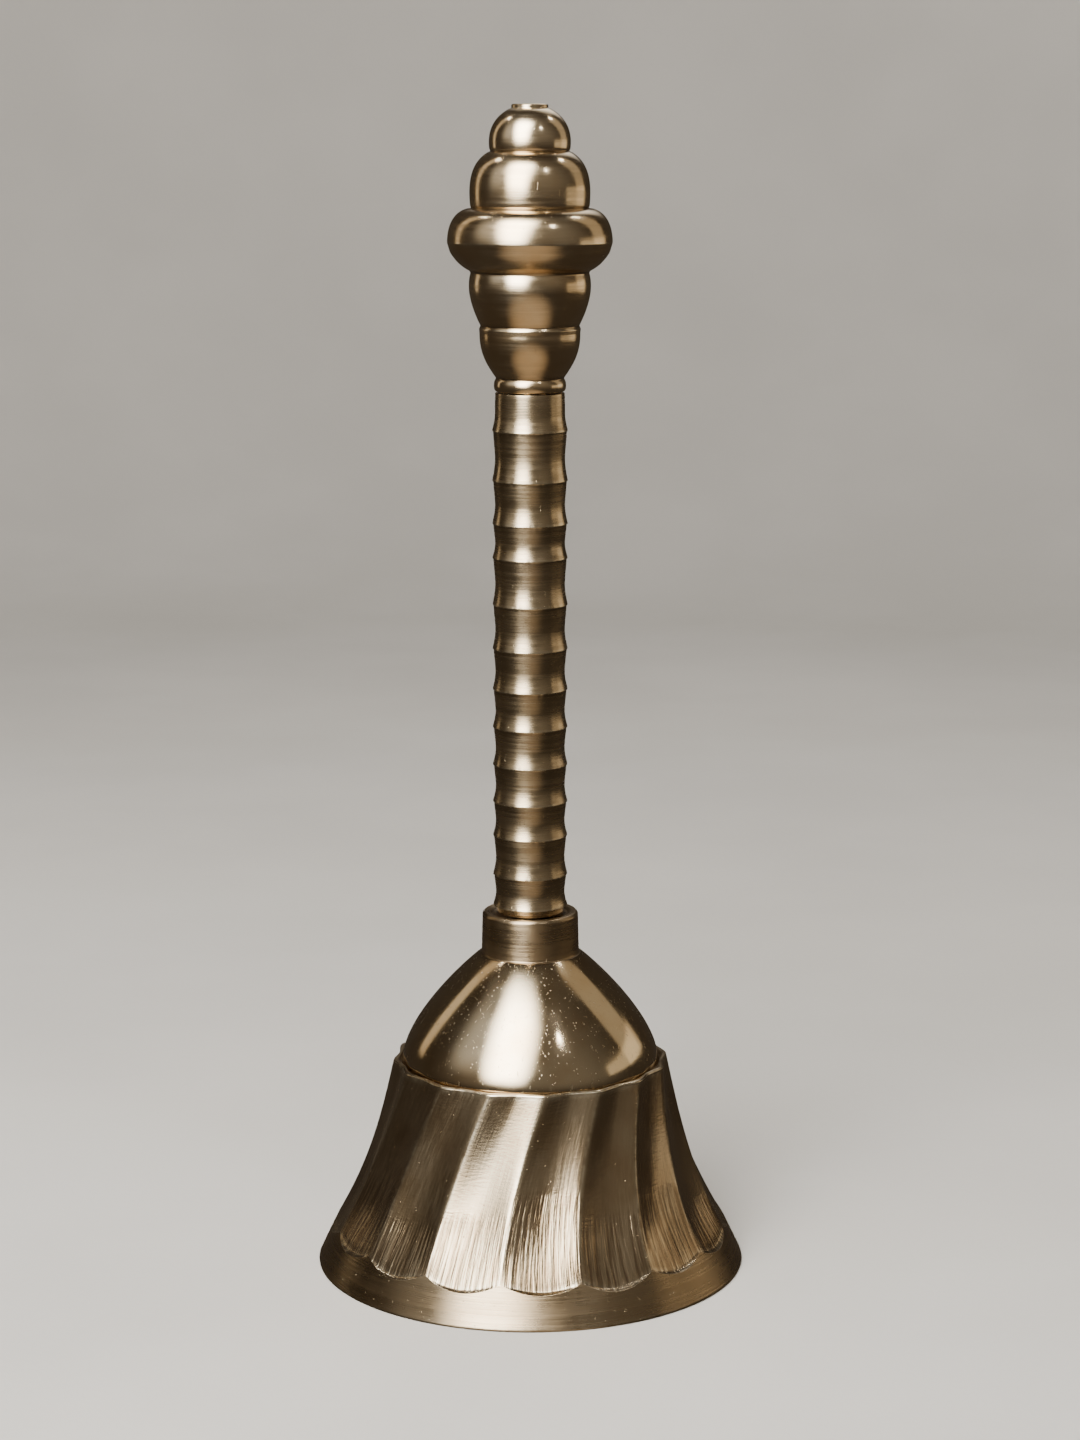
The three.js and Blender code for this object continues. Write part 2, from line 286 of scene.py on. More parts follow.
# ---------- Shader nodes ----------
class Nodes:
    """Short calls that add nodes to a tree. A value is a number or another node's output."""

    def __init__(self, tree):
        self.tree = tree

    def put(self, socket, value):
        if isinstance(value, bpy.types.NodeSocket):
            self.tree.links.new(value, socket)
        else:
            socket.default_value = value

    def attribute(self, name, output="Fac"):
        node = self.tree.nodes.new("ShaderNodeAttribute")
        node.attribute_name = name
        return node.outputs[output]

    def coordinates(self, output):
        return self.tree.nodes.new("ShaderNodeTexCoord").outputs[output]

    def math(self, operation, a, b=0.0):
        node = self.tree.nodes.new("ShaderNodeMath")
        node.operation = operation
        self.put(node.inputs[0], a)
        self.put(node.inputs[1], b)
        return node.outputs[0]

    def dot(self, first, second):
        node = self.tree.nodes.new("ShaderNodeVectorMath")
        node.operation = "DOT_PRODUCT"
        self.put(node.inputs[0], first)
        self.put(node.inputs[1], second)
        return node.outputs["Value"]

    def stretch(self, vector, scale, turn=(0, 0, 0)):
        node = self.tree.nodes.new("ShaderNodeMapping")
        self.put(node.inputs["Vector"], vector)
        self.put(node.inputs["Scale"], scale)
        self.put(node.inputs["Rotation"], turn)
        return node.outputs[0]

    def noise(self, vector, scale=1.0, detail=3.0, roughness=0.55):
        node = self.tree.nodes.new("ShaderNodeTexNoise")
        self.put(node.inputs["Vector"], vector)
        self.put(node.inputs["Scale"], scale)
        self.put(node.inputs["Detail"], detail)
        self.put(node.inputs["Roughness"], roughness)
        return node.outputs[0]

    def cells(self, vector, scale):
        node = self.tree.nodes.new("ShaderNodeTexVoronoi")
        self.put(node.inputs["Vector"], vector)
        self.put(node.inputs["Scale"], scale)
        return node.outputs["Distance"]

    def span(self, value, low, high, to_low=0.0, to_high=1.0):
        """Maps low..high smoothly onto to_low..to_high, level beyond both ends."""
        node = self.tree.nodes.new("ShaderNodeMapRange")
        node.interpolation_type = "SMOOTHSTEP"
        self.put(node.inputs["Value"], value)
        self.put(node.inputs["From Min"], low)
        self.put(node.inputs["From Max"], high)
        self.put(node.inputs["To Min"], to_low)
        self.put(node.inputs["To Max"], to_high)
        return node.outputs[0]

    def blend(self, factor, first, second):
        node = self.tree.nodes.new("ShaderNodeMix")
        node.data_type = "RGBA"
        factor_socket, first_socket, second_socket = (node.inputs[k] for k in (0, 6, 7))
        self.put(factor_socket, factor)
        self.put(first_socket, first)
        self.put(second_socket, second)
        return node.outputs[2]

    def bump(self, height, distance):
        node = self.tree.nodes.new("ShaderNodeBump")
        self.put(node.inputs["Height"], height)
        self.put(node.inputs["Distance"], distance)
        return node.outputs[0]


class Net(Nodes):
    """The nodes of a new material."""

    def __init__(self, name):
        self.material = bpy.data.materials.new(name)
        self.material.use_nodes = True
        super().__init__(self.material.node_tree)
        self.tree.nodes.clear()
        self.output = self.tree.nodes.new("ShaderNodeOutputMaterial")

    def surface(self, color, roughness, normal):
        """Makes a plain surface the material's output and returns its shader."""
        shader = self.tree.nodes.new("ShaderNodeBsdfPrincipled")
        self.put(shader.inputs["Base Color"], color)
        self.put(shader.inputs["Roughness"], roughness)
        self.put(shader.inputs["Normal"], normal)
        self.put(self.output.inputs["Surface"], shader.outputs[0])
        return shader

    def metal(self, color, roughness, normal, anisotropic=0.0, turn=0.0):
        """A metal, whose highlights can be drawn out along rings round the axis or turned from them."""
        shader = self.surface(color, roughness, normal)
        self.put(shader.inputs["Metallic"], 1.0)
        self.put(shader.inputs["Anisotropic"], anisotropic)
        self.put(shader.inputs["Anisotropic Rotation"], turn)
        if anisotropic:
            tangent = self.tree.nodes.new("ShaderNodeTangent")
            tangent.direction_type = "RADIAL"
            tangent.axis = "Z"
            self.put(shader.inputs["Tangent"], tangent.outputs[0])
        return self.material


# ---------- Brass and steel ----------
CLEAN_BRASS = (0.76, 0.63, 0.43, 1)
WARM_BRASS = (0.68, 0.52, 0.32, 1)
FINIAL_BRASS = (0.86, 0.71, 0.49, 1)
FINIAL_TARNISH = (0.77, 0.59, 0.36, 1)
SATIN_BRASS = (0.62, 0.49, 0.31, 1)
LIP_BRASS = (0.47, 0.37, 0.24, 1)
FLUTE_BRASS = (0.56, 0.45, 0.30, 1)
DARK_BRASS = (0.48, 0.36, 0.22, 1)
INSIDE_BRASS = (0.5, 0.39, 0.22, 1)
INSIDE_TARNISH = (0.38, 0.27, 0.13, 1)
DULL_BRASS = (0.52, 0.40, 0.22, 1)
DULL_TARNISH = (0.36, 0.25, 0.12, 1)
WORN_AND_HIGHLIGHT_BRASS = (0.88, 0.78, 0.58, 1)
DARK_GROOVE = (0.24, 0.16, 0.09, 1)
PAINTED_SHADE = (0.16, 0.10, 0.05, 1)
STEEL = (0.42, 0.41, 0.39, 1)
BROWN_SPOT = (0.23, 0.15, 0.09, 1)
# A quarter turn of the highlight's long axis, so that it lies across the marks.
ACROSS_MARKS = 0.25


def brass_color(net, clean, warm):
    """Brass with a faint warm tarnish in clouds, painted shade in grooves and recesses, and lighter edges
    that are wear and a painted highlight together.
    """
    place = net.coordinates("Object")
    clouds = net.noise(place, scale=140, detail=4)
    color = net.blend(net.span(clouds, 0.35, 0.7), clean, warm)
    # Painted shade: the colour goes towards dark brown by the share kept at each point in grooves and
    # recesses.
    color = net.blend(net.math("MULTIPLY", net.attribute("painted_recess_shade"), 0.8), color, PAINTED_SHADE)
    # Wear and a painted highlight: the colour goes towards pale brass along edges, in ragged patches.
    rubbed = net.span(net.noise(place, scale=900, detail=2), 0.3, 0.6, 0.15, 0.9)
    return net.blend(net.math("MULTIPLY", net.attribute("wear_and_edge_highlight"), rubbed), color, WORN_AND_HIGHLIGHT_BRASS)


def pits(net, scale, share):
    """1 in small round pits, which only a share of the cells hold, and 0 elsewhere."""
    place = net.coordinates("Object")
    round_pit = net.span(net.cells(place, scale), 0.1, 0.2, 1.0, 0.0)
    chosen = net.span(net.noise(place, scale=scale * 0.6, detail=1), 1 - share, 1.04 - share)
    return net.math("MULTIPLY", round_pit, chosen)


def scratches(net, turn, density):
    """1 along short fine scratches that lean one way, and 0 elsewhere."""
    place = net.stretch(net.coordinates("Object"), (4200, 4200, 300), turn)
    lines = net.noise(place, detail=1.5, roughness=0.4)
    return net.span(lines, 0.74 - density, 0.78 - density)


def lathe_marks(net, fineness, spread=1.0):
    """Fine rings round the axis, a little uneven from place to place."""
    marks = net.attribute("turned_map", "Vector")
    return net.noise(net.stretch(marks, (spread, spread, fineness)), detail=3.5, roughness=0.65)


def turned_brass(
    name,
    roughness,
    fineness,
    depth,
    clean=CLEAN_BRASS,
    warm=WARM_BRASS,
    pitting=0.3,
    anisotropic=0.5,
    lines=0.3,
):
    """Brass as it leaves the lathe, its marks polished to the given roughness and depth in microns."""
    net = Net(name)
    rings = lathe_marks(net, fineness)
    broad = lathe_marks(net, fineness * 0.22, 2.0)
    seen_lines = lathe_marks(net, fineness * 0.5, 0.3)
    blemish = pits(net, 1500, pitting)
    scored = scratches(net, (0.5, 0.3, 0.2), 0.0)
    height = net.math("ADD", rings, net.math("MULTIPLY", broad, 0.8))
    height = net.math("SUBTRACT", height, net.math("MULTIPLY", blemish, 1.6))
    height = net.math("SUBTRACT", height, net.math("MULTIPLY", scored, 0.8))
    patches = net.noise(net.coordinates("Object"), scale=300, detail=2)
    uneven = net.span(patches, 0.25, 0.8, roughness * 0.88, roughness * 1.18)
    rough = net.math("ADD", uneven, net.math("MULTIPLY", blemish, 0.2))
    rough = net.math("ADD", rough, net.span(seen_lines, 0.35, 0.7, -0.04, 0.05))
    color = brass_color(net, clean, warm)
    color = net.blend(net.span(seen_lines, 0.45, 0.65, 0.0, lines), color, DARK_BRASS)
    return net.metal(color, rough, net.bump(height, depth * MICRON), anisotropic, ACROSS_MARKS)


def polished_brass(name):
    """The dome: polished bright, with small pits and short scratches over faint lathe marks."""
    net = Net(name)
    rings = net.math("MULTIPLY", lathe_marks(net, 9), 0.35)
    ripple = net.math("MULTIPLY", net.noise(net.coordinates("Object"), scale=260, detail=2), 1.2)
    blemish = pits(net, 2800, 0.35)
    rising = scratches(net, (0.6, 0.2, 0.0), 0.035)
    falling = scratches(net, (-0.5, 0.4, 0.9), 0.025)
    scored = net.math("MAXIMUM", rising, falling)
    height = net.math("ADD", rings, ripple)
    height = net.math("SUBTRACT", height, net.math("MULTIPLY", blemish, 2.0))
    height = net.math("SUBTRACT", height, net.math("MULTIPLY", scored, 1.1))
    haze = net.span(net.noise(net.coordinates("Object"), scale=300, detail=4), 0.3, 0.75, 0.09, 0.17)
    rough = net.math("ADD", haze, net.math("MULTIPLY", scored, 0.15))
    color = brass_color(net, CLEAN_BRASS, WARM_BRASS)
    return net.metal(color, rough, net.bump(height, 5 * MICRON), 0.3, ACROSS_MARKS)


def fluted_brass(name):
    """The flutes: coarse lengthwise marks of the cutter below, smoother above where it plunged in."""
    net = Net(name)
    marks = net.attribute("turned_map", "Vector")
    coarse = net.noise(net.stretch(marks, (52, 52, 0.16)), detail=1.5, roughness=0.5)
    fine = net.noise(net.stretch(marks, (190, 190, 0.4)), detail=2, roughness=0.6)
    chatter = net.noise(net.stretch(marks, (20, 20, 3.5)), detail=2.5)
    ragged = net.math("ADD", net.attribute("coarse"), net.math("MULTIPLY", chatter, 0.5))
    lower = net.span(ragged, 0.45, 1.1)
    streaks = net.math("ADD", net.math("SUBTRACT", coarse, 0.5), net.math("MULTIPLY", fine, 0.3))
    height = net.math("MULTIPLY", streaks, net.span(lower, 0, 1, 0.14, 1.0))
    height = net.math("ADD", height, net.math("MULTIPLY", chatter, 0.13))
    height = net.math("SUBTRACT", height, net.math("MULTIPLY", pits(net, 2400, 0.35), 0.3))
    rough = net.span(fine, 0.3, 0.7, 0.17, 0.27)
    color = brass_color(net, FLUTE_BRASS, DARK_BRASS)
    scored_dark = net.math("MULTIPLY", net.span(coarse, 0.42, 0.58, 0.6, 0.0), lower)
    color = net.blend(scored_dark, color, DARK_GROOVE)
    return net.metal(color, rough, net.bump(height, 82 * MICRON), 0.3)


def lip_brass(name):
    """The cup's turned lip, rim and collar, with lathe lines that show."""
    return turned_brass(name, 0.3, 5, 26, clean=LIP_BRASS, warm=DARK_BRASS, anisotropic=0.75, lines=0.65)


def inside_brass(name):
    return turned_brass(name, 0.5, 4, 30, clean=INSIDE_BRASS, warm=INSIDE_TARNISH)


def satin_brass(name):
    """The handle: evenly rubbed, so its lathe lines hardly show."""
    return turned_brass(name, 0.26, 5, 11, clean=SATIN_BRASS, warm=FLUTE_BRASS, anisotropic=0.6, lines=0.2)


def finial_brass(name):
    return turned_brass(
        name, 0.19, 4, 8, clean=FINIAL_BRASS, warm=FINIAL_TARNISH, pitting=0.25, anisotropic=0.3, lines=0.15
    )


def dull_brass(name, roughness=0.42):
    """The pieces inside the bell, which nobody polishes."""
    return turned_brass(name, roughness, 6, 10, clean=DULL_BRASS, warm=DULL_TARNISH, pitting=0.45)


def steel_wire(name):
    """Drawn steel wire, dull grey with brown spots."""
    net = Net(name)
    place = net.coordinates("Object")
    spots = net.span(net.noise(place, scale=900, detail=4), 0.5, 0.72)
    drawn = net.noise(net.stretch(place, (5200, 5200, 420)), detail=3)
    rough = net.math("ADD", net.span(drawn, 0.3, 0.7, 0.28, 0.42), net.math("MULTIPLY", spots, 0.25))
    height = net.math("ADD", drawn, net.math("MULTIPLY", spots, 0.6))
    return net.metal(net.blend(spots, STEEL, BROWN_SPOT), rough, net.bump(height, 8 * MICRON))


# ---------- Bell cup ----------
DOME, FLUTED, TURNED, INSIDE = range(4)
OFF_FLUTES, OVER_FLUTES = -1.0, 2.0


# Every row holds a radius, a height, how far up the flutes it is, the share of their depth that they
# cut there, and a finish.
def plain_rows(points, finish):
    """Rows of a part of the cup without flutes."""
    return [[radius, height, OFF_FLUTES, 0.0, finish] for radius, height in points]


def lip_rows():
    lip = Profile(MOUTH_INNER_RADIUS, 0).line(MOUTH_RADIUS - 0.25, 0)
    lip.curve((MOUTH_RADIUS - 0.03, 0), (MOUTH_RADIUS, LIP_FOOT))
    lip.line(LIP_TOP_RADIUS + 0.02, LIP_TOP - 0.04)
    return plain_rows(lip.done(softness=2), TURNED)


def skirt_rows():
    """Rows up the flutes, close together where they run out at the lip."""
    run_out = FLUTE_RUN_OUT * np.linspace(0, 1, 7)[:-1] ** 1.5
    shares = np.concatenate([run_out, np.linspace(FLUTE_RUN_OUT, 1, 64)])
    heights = LIP_TOP + shares * (LEDGE_HEIGHT - LIP_TOP)
    return [[skirt_radius(z), z, share, 1.0, FLUTED] for share, z in zip(shares, heights)]


def rim_rows():
    """The rim over the flutes, whose scalloped edge fades into a round one towards the dome."""
    rim = Profile(LEDGE_RADIUS, LEDGE_HEIGHT)
    rim.curve((LEDGE_RADIUS - 0.02, LEDGE_CREST), (LEDGE_RADIUS - 0.4, LEDGE_CREST))
    rim.curve((LEDGE_RADIUS - 0.75, LEDGE_CREST), (DOME_FOOT_RADIUS + 0.15, LEDGE_HEIGHT - 0.1))
    rows = []
    for radius, height in rim.done(softness=0)[1:]:
        share = (radius - DOME_FOOT_RADIUS - 0.15) / (LEDGE_RADIUS - DOME_FOOT_RADIUS - 0.15)
        rows.append([radius, height, OVER_FLUTES, np.clip(1.6 * share, 0, 1), TURNED])
    return rows


def dome_rows():
    dome = Profile(DOME_FOOT_RADIUS + 0.14, LEDGE_HEIGHT - 0.1)
    dome.curve((DOME_FOOT_RADIUS, LEDGE_HEIGHT - 0.1), (DOME_FOOT_RADIUS, LEDGE_HEIGHT + 0.15))
    dome.curve((DOME_FOOT_RADIUS - 0.2, 29.8), (9.1, 36.4), (COLLAR_RADIUS + 0.25, COLLAR_BOTTOM))
    return plain_rows(dome.done(softness=1), DOME)


def collar_rows():
    """The collar with its dished top, as far as the hole for the bolt."""
    dished = COLLAR_TOP - COLLAR_DISH
    collar = Profile(COLLAR_RADIUS + 0.2, COLLAR_BOTTOM + 0.03)
    collar.curve((COLLAR_RADIUS, COLLAR_BOTTOM + 0.1), (COLLAR_RADIUS, COLLAR_BOTTOM + 0.3))
    collar.line(COLLAR_RADIUS - 0.1, COLLAR_TOP - 0.3).line(COLLAR_RADIUS - 0.36, COLLAR_TOP)
    collar.line(SPIGOT_RADIUS + 0.9, COLLAR_TOP).line(SPIGOT_RADIUS + 0.5, dished)
    collar.line(STUD_BORE, dished)
    return plain_rows(collar.done(softness=2), TURNED)


def inside_rows():
    """Down the bolt's hole, across under the crown and down the hollow to the mouth."""
    inner = Profile(STUD_BORE, COLLAR_TOP - COLLAR_DISH - 0.2).line(STUD_BORE, CROWN_UNDERSIDE)
    inner.line(CROWN_INNER_RADIUS, CROWN_UNDERSIDE)
    inner.curve((10.2, 34.0), (13.4, 28.4), (14.1, 23.5))
    inner.curve((16.0, 15.0), (21.9, 4.5)).line(MOUTH_INNER_RADIUS, 0.05)
    return plain_rows(inner.done(softness=2, spacing=1.3), INSIDE)


def cup_profile():
    """All rows from the mouth's inner edge up the outside and down the inside."""
    parts = (lip_rows, skirt_rows, rim_rows, dome_rows, collar_rows, inside_rows)
    return np.array([row for part in parts for row in part()])


def flute_columns():
    """Each column's place across its flute, close together at the ridges, and the flute it's on."""
    k = np.arange(COLUMNS_PER_FLUTE)
    across = (1 - np.cos(math.pi * k / COLUMNS_PER_FLUTE)) / 2
    return np.tile(across, FLUTES), np.repeat(np.arange(FLUTES), COLUMNS_PER_FLUTE)


def hollow_across(across, softness):
    """The flute's cross-section: 1 in the middle of a round hollow, 0 on a more or less worn ridge."""
    from_ridge = 1 - np.abs(2 * across - 1)
    worn = np.sqrt(from_ridge**2 + softness**2) - softness
    return 1 - (1 - worn) ** 2


def hump(distance, width):
    """1 where a distance is 0, fading to 0 over a few widths."""
    return np.exp(-((distance / width) ** 2))


class CupGrid:
    """The cup's grid of points: a row for each place up the profile and a column for each angle.

    The flutes were cut by hand and eye, so no two of them are quite alike.
    """

    def __init__(self):
        rows = cup_profile()
        self.radius, self.height, self.fraction, self.cut, self.finish = np.hsplit(rows, 5)
        self.across, self.flute = flute_columns()
        self.ridge_shift = np.radians(random.uniform(-1.1, 1.1, FLUTES + 1))
        self.ridge_shift[-1] = self.ridge_shift[0]
        self.depth_scale = random.uniform(0.88, 1.12, FLUTES)[self.flute]
        self.drop_scale = random.uniform(0.8, 1.2, FLUTES)[self.flute]
        self.plunge = random.uniform(0.2, 0.5, FLUTES)[self.flute]
        self.step = random.uniform(0.0, 0.03, FLUTES)[self.flute]

        self.base = (self.flute + self.across) * 2 * math.pi / FLUTES
        self.climb = np.clip((self.height - LIP_TOP) / (LEDGE_HEIGHT - LIP_TOP), 0, 1)
        softness = WORN_RIDGE + WORN_RIDGE_AT_LEDGE * self.climb**1.5
        self.hollow = hollow_across(self.across, softness)
        # 1 below the place where each flute's cutter plunged in, and 0 above it.
        self.below = 1 / (1 + np.exp((self.climb - self.plunge) * PLUNGE_SHARPNESS))
        self.on_flute = (self.fraction >= 0) & (self.fraction <= 1)
        self.on_lip = (self.fraction < 0) & (self.height < LIP_TOP) & (self.finish == TURNED)
        scalloped = np.maximum(0, 1 - self.climb / SCALLOP_REACH)
        self.drop = SCALLOP_DROP * self.hollow * self.drop_scale * scalloped
        lip_share = np.clip((self.height - SCALLOP_FOOT) / (LIP_TOP - SCALLOP_FOOT), 0, 1)
        self.lip_drop = np.where(self.on_lip, self.drop * lip_share, 0)

    def lip_slope(self):
        return (MOUTH_RADIUS - LIP_TOP_RADIUS) / (LIP_TOP - LIP_FOOT)

    def depth(self):
        """How deep the flutes cut: nothing where they run out at the lip, and shallower at the ledge."""
        run_out = 1 - (1 - np.clip(self.fraction / FLUTE_RUN_OUT, 0, 1)) ** 2.2
        rise = np.clip(self.climb / FLUTE_RISE, 0, 1)
        rise = SHALLOW_AT_LIP + (1 - SHALLOW_AT_LIP) * rise * rise * (3 - 2 * rise)
        full = FLUTE_DEPTH + (FLUTE_DEPTH_AT_LEDGE - FLUTE_DEPTH) * self.climb
        full = full * rise * self.depth_scale + self.step * self.below * self.hollow
        cutting = np.where(self.fraction > 1, 1.0, run_out)
        return full * cutting * self.cut * self.hollow

    def points(self):
        z = self.height - np.where(self.on_flute, self.drop, 0) - self.lip_drop
        surface = np.where(self.on_flute, skirt_radius(np.maximum(z, LIP_TOP)), self.radius)
        on_cone = (self.on_flute | self.on_lip) & (z < LIP_TOP) & (self.height > LIP_FOOT + 0.02)
        surface = np.where(on_cone, LIP_TOP_RADIUS + (LIP_TOP - z) * self.lip_slope(), surface)
        r = surface - self.depth()
        start, end = self.ridge_shift[self.flute], self.ridge_shift[self.flute + 1]
        wander = start * (1 - self.across) + end * self.across
        angle = self.base + wander * (self.finish != INSIDE) + FIRST_RIDGE + FLUTE_TWIST * self.climb**2
        return np.stack([r * np.cos(angle), r * np.sin(angle), z + 0 * angle], axis=-1)

    def spread(self, values):
        """The same values for every column, or for every row."""
        return np.broadcast_to(values, self.hollow.shape)

    def turned_map(self):
        """Place round and along the surface, with the lip's lathe lines kept level."""
        along = arc_lengths(np.hstack([self.radius, self.height]))[:, None]
        level = along - self.lip_drop * math.hypot(1, self.lip_slope())
        return np.stack([self.spread(np.cos(self.base)), self.spread(np.sin(self.base)), level], axis=-1)

    def painted_recess_shade(self):
        """Painted shade in the corner at the dome's foot, under the collar and in the dish on top of it."""
        by_dome = np.abs(self.radius - DOME_FOOT_RADIUS - 0.1) < 0.4
        corner = hump(self.height - LEDGE_HEIGHT - 0.1, 0.35) * by_dome
        neck = hump(self.height - COLLAR_BOTTOM - 0.1, 0.3) * (self.radius < COLLAR_RADIUS + 0.8)
        dish = (self.height > COLLAR_TOP - 0.5) & (self.radius < SPIGOT_RADIUS + 0.6)
        return self.spread(np.maximum.reduce([0.6 * corner, 0.4 * neck, 0.9 * dish]))

    def wear_and_edge_highlight(self):
        """Ridges, scallops, rim and mouth made lighter: wear and a painted highlight on these edges."""
        on_ridge = hump(np.minimum(self.across, 1 - self.across), 0.035)
        ridge = on_ridge * self.on_flute * np.minimum(1, self.climb * 8)
        scallop = hump(self.fraction - 0.5 * FLUTE_RUN_OUT, FLUTE_RUN_OUT) * self.on_flute
        rim = hump(self.height - LEDGE_HEIGHT, 0.35) * (self.radius > LEDGE_RADIUS - 0.5)
        mouth = hump(self.height, 0.3) * (self.radius > MOUTH_RADIUS - 0.4)
        return np.maximum.reduce([0.7 * ridge, *(self.spread(v) for v in (0.6 * scallop, rim, mouth))])


def bell_cup():
    cup = CupGrid()
    points = cup.points()
    rows, columns = points.shape[:2]
    materials = [
        polished_brass("polished_dome"),
        fluted_brass("fluted_skirt"),
        lip_brass("turned_cup"),
        inside_brass("inside_cup"),
    ]
    finishes = np.repeat(cup.finish.astype(int), columns)
    faces = grid_faces(rows, columns, True)
    piece = mesh_piece("bell_cup", points.reshape(-1, 3), faces, "bell", materials, finishes)
    add_map(piece, cup.turned_map().reshape(-1, 3))
    # Painted shade in the cup's corners and recesses.
    add_share(piece, "painted_recess_shade", cup.painted_recess_shade())
    # Wear and a painted highlight on the cup's edges.
    add_share(piece, "wear_and_edge_highlight", cup.wear_and_edge_highlight())
    add_share(piece, "coarse", cup.below * cup.on_flute)
    return piece


# ---------- Handle and finial ----------
ring_edges = handle_high.z - np.cumsum(RING_HEIGHTS)


def handle_profile():
    foot, top = handle_low.z, handle_high.z
    ring_tops = [top, *ring_edges[:-1]]
    profile = Profile(0, foot + SOCKET_DEPTH + DRILL_TIP).line(SOCKET_RADIUS, foot + SOCKET_DEPTH)
    profile.line(SOCKET_RADIUS, foot).line(SPIGOT_RADIUS, foot).line(SPIGOT_RADIUS, ring_edges[-1] + 0.05)
    for low, high in reversed(list(zip(ring_edges, ring_tops))):
        tall = high - low
        shoulder = RING_WAIST - 0.05 if high == top else RING_SHOULDER
        flare_top, waist_top = low + FLARE_SHARE * tall, low + WAIST_SHARE * tall
        flare_middle = low + FLARE_SHARE / 2 * tall
        profile.line(RING_FLARE - 0.03, low).line(RING_FLARE, low + 0.06)
        profile.curve((RING_WAIST + 0.13, flare_middle), (RING_WAIST, flare_top), (RING_WAIST, waist_top))
        profile.curve((RING_WAIST + 0.02, waist_top + 0.12 * tall), (shoulder, high))
    profile.line(SOCKET_RADIUS, top).line(SOCKET_RADIUS, top - SOCKET_DEPTH)
    profile.line(0, top - SOCKET_DEPTH - DRILL_TIP)
    return profile.done(softness=1, tolerance=0.002)


def dented(radius, height, angles):
    """Small dents and burrs along the sharp lower edges of the rings."""
    nearest = np.abs(height[:, :1] - ring_edges).min(axis=1)[:, None]
    lower_edge = hump(nearest, 0.22) * (radius[:, :1] > RING_WAIST + 0.12)
    phases = random.uniform(0, 2 * math.pi, 9)
    ripple = sum(
        np.sin((5 + 6 * k) * angles + phase + height[:, :1] * (1.7 + k)) for k, phase in enumerate(phases)
    ) / 9
    bite = np.maximum(0, ripple - 0.3)
    return radius - lower_edge * (0.02 + 0.16 * bite), height + lower_edge * 0.1 * bite


def radii_and_heights(piece):
    """Columns with each point's radius and height, in mm."""
    points = np.array([vertex.co for vertex in piece.data.vertices]) / MM
    return np.hypot(points[:, :1], points[:, 1:2]), points[:, 2:3]


def nearest_ahead(gaps):
    """Each point's gap to the next ring edge ahead, where one just behind it still counts."""
    return np.where(gaps > -0.02, gaps, 99).min(axis=1)[:, None]


def handle_grip():
    material = satin_brass("satin_handle")
    piece = lathe("handle_grip", handle_profile(), 160, "bell", material, dented)
    radius, height = radii_and_heights(piece)
    # Painted shade under each ring's lower edge and on the spigot hidden in the collar.
    painted_recess_shade = 0.5 * np.exp(-nearest_ahead(ring_edges - height) / 1.1) * (radius < RING_FLARE - 0.02)
    spigot = (height < ring_edges[-1]) & (radius < SPIGOT_RADIUS + 0.1)
    add_share(piece, "painted_recess_shade", np.maximum(painted_recess_shade, 0.5 * spigot))
    # Wear and a painted highlight just above each ring's lower edge.
    add_share(piece, "wear_and_edge_highlight", hump(nearest_ahead(height - ring_edges), 0.16) * (radius > RING_WAIST + 0.15))
    return piece


def finial_profile():
    """Radius and height of each point, run up the outside; most heights are plain millimetres."""
    low, top = finial_low.z, finial_high.z
    seam = handle_high.z + 0.2
    profile = Profile(0, low).line(1.7, low).line(2.0, low + 0.3).line(2.0, seam).line(4.0, seam)
    # Neck bead.
    profile.curve((4.32, seam + 0.05), (4.36, seam + 1.15), (4.02, seam + 1.45))
    profile.line(4.05, seam + 1.6)
    # Cup that swells upwards in two steps.
    profile.curve((4.9, 109.6), (6.0, 111.2), (5.92, 113.6))
    profile.line(5.98, 114.1).line(5.8, CUP_GROOVE).line(5.95, 114.75)
    profile.curve((7.0, 116.9), (7.45, 118.9), (6.95, 120.6))
    # Wide disc: a chamfer under its sharp rim and a full shoulder above.
    profile.line(7.1, 120.85).curve((8.1, 121.3), (8.9, 122.2), (9.35, 123.0))
    profile.line(9.68, 124.1)
    profile.curve((9.68, 126.1), (8.9, 127.6), (7.4, 128.0))
    profile.line(6.85, DISC_TOP).line(6.98, 128.35)
    # Two stacked domes and the button.
    profile.curve((7.25, 131.3), (6.8, 133.3), (4.95, 134.45))
    profile.line(4.6, LOWER_DOME_TOP).line(4.72, 134.9)
    profile.curve((5.0, 137.0), (4.1, 138.6), (2.35, 139.45))
    profile.line(2.15, BUTTON_FOOT).line(2.15, top - 0.12).line(1.95, top).line(0, top)
    return profile.done(softness=2, tolerance=0.0015, spacing=0.5)


def finial_knob():
    material = finial_brass("turned_finial")
    piece = lathe("finial_knob", finial_profile(), 160, "bell", material)
    height = radii_and_heights(piece)[1]
    grooves = (NECK_TOP, CUP_GROOVE, DISC_FOOT, DISC_TOP, LOWER_DOME_TOP)
    edges = (CUP_EDGE, DISC_EDGE, BUTTON_FOOT)
    # Painted shade in the finial's grooves.
    add_share(piece, "painted_recess_shade", 0.7 * hump(np.abs(height - grooves).min(axis=1), 0.16))
    # Wear and a painted highlight on the finial's sharp edges.
    add_share(piece, "wear_and_edge_highlight", 0.8 * hump(np.abs(height - edges).min(axis=1), 0.14))
    return piece


